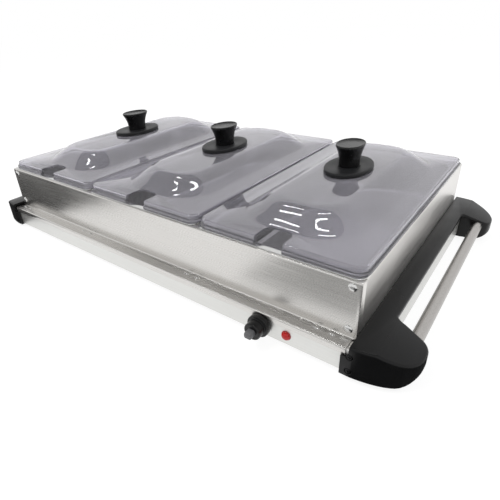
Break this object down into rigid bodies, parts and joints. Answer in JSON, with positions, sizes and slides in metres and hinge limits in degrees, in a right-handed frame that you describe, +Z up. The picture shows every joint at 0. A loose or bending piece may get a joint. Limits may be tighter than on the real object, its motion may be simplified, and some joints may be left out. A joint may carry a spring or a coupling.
{
  "type": "electric buffet server",
  "caption": "Table-top electric buffet server: heated tray with end handles, a lift-off steel frame holding food pans side by side, and clear domed lids with spoon notches and oval knobs.",
  "frame": {"origin": "on the table plane, under the centre of the bounding box", "axes": "+Z up, -Y to the front with the control knob, +X to the right handle"},
  "size_m": [0.633, 0.3926, 0.145],
  "materials": {
    "brushed_steel": "brushed stainless steel",
    "satin_steel": "fine satin stainless steel",
    "bright_steel": "smooth bright stainless steel",
    "zinc_steel": "zinc plated steel",
    "element_sheath": "dull steel sheath",
    "black_plastic": "satin black moulding",
    "knob_plastic": "smooth black moulding",
    "clear_plastic": "clear glossy plastic",
    "red_plastic": "translucent red lens",
    "foot_rubber": "black rubber",
    "mineral_wool": "pressed mineral wool",
    "ceramic": "off-white moulded insulator"
  },
  "bodies": {
    "base": {"warming_plate": "brushed_steel", "base_housing": "satin_steel", "bottom_cover": "zinc_steel", "heating_element": "element_sheath", "insulation_pad": "mineral_wool", "thermal_fuse": "ceramic", "terminal_block": "ceramic", "cord_gland": "black_plastic", "thermostat_body": "ceramic", "indicator_lens": "red_plastic", "indicator_lamp": "ceramic", "left_end_cap": "black_plastic", "left_handle_tube": "brushed_steel", "right_end_cap": "black_plastic", "right_handle_tube": "brushed_steel", "cover_screw_front": "zinc_steel", "foot_front_left": "foot_rubber", "cap_screw_front_left_1": "zinc_steel", "cap_screw_front_left_2": "zinc_steel", "foot_front_right": "foot_rubber", "cap_screw_front_right_1": "zinc_steel", "cap_screw_front_right_2": "zinc_steel", "cover_screw_back": "zinc_steel", "foot_back_left": "foot_rubber", "cap_screw_back_left_1": "zinc_steel", "cap_screw_back_left_2": "zinc_steel", "foot_back_right": "foot_rubber", "cap_screw_back_right_1": "zinc_steel", "cap_screw_back_right_2": "zinc_steel"},
    "control_knob": {"control_knob": "knob_plastic", "thermostat_shaft": "zinc_steel"},
    "pan_frame": {"frame_left_panel": "brushed_steel", "pan_divider_left": "brushed_steel", "frame_right_panel": "brushed_steel", "pan_divider_right": "brushed_steel", "frame_front_panel": "brushed_steel", "rivet_front_1": "bright_steel", "rivet_front_2": "bright_steel", "rivet_front_3": "bright_steel", "rivet_front_4": "bright_steel", "frame_back_panel": "brushed_steel", "rivet_back_1": "bright_steel", "rivet_back_2": "bright_steel", "rivet_back_3": "bright_steel", "rivet_back_4": "bright_steel"},
    "left_pan": {"left_pan": "bright_steel"},
    "left_lid": {"left_lid": "clear_plastic", "left_grip_plate": "black_plastic", "left_lid_grip": "knob_plastic", "left_grip_screw": "zinc_steel"},
    "middle_pan": {"middle_pan": "bright_steel"},
    "middle_lid": {"middle_lid": "clear_plastic", "middle_grip_plate": "black_plastic", "middle_lid_grip": "knob_plastic", "middle_grip_screw": "zinc_steel"},
    "right_pan": {"right_pan": "bright_steel"},
    "right_lid": {"right_lid": "clear_plastic", "right_grip_plate": "black_plastic", "right_lid_grip": "knob_plastic", "right_grip_screw": "zinc_steel"}
  },
  "joints": [
    {"name": "knob_turn", "type": "hinge", "parent": "base", "child": "control_knob", "pos_m": [0.1787, -0.17535, 0.0185], "axis": [0, 1, 0], "range_deg": [0, 270]},
    {"name": "frame_lift", "type": "slide", "parent": "base", "child": "pan_frame", "axis": [0, 0, 1], "range_m": [0, 0.08]},
    {"name": "left_pan_lift", "type": "slide", "parent": "pan_frame", "child": "left_pan", "axis": [0, 0, 1], "range_m": [0, 0.12]},
    {"name": "left_lid_lift", "type": "slide", "parent": "left_pan", "child": "left_lid", "axis": [0, 0, 1], "range_m": [0, 0.06]},
    {"name": "middle_pan_lift", "type": "slide", "parent": "pan_frame", "child": "middle_pan", "axis": [0, 0, 1], "range_m": [0, 0.12]},
    {"name": "middle_lid_lift", "type": "slide", "parent": "middle_pan", "child": "middle_lid", "axis": [0, 0, 1], "range_m": [0, 0.06]},
    {"name": "right_pan_lift", "type": "slide", "parent": "pan_frame", "child": "right_pan", "axis": [0, 0, 1], "range_m": [0, 0.12]},
    {"name": "right_lid_lift", "type": "slide", "parent": "right_pan", "child": "right_lid", "axis": [0, 0, 1], "range_m": [0, 0.06]}
  ]
}
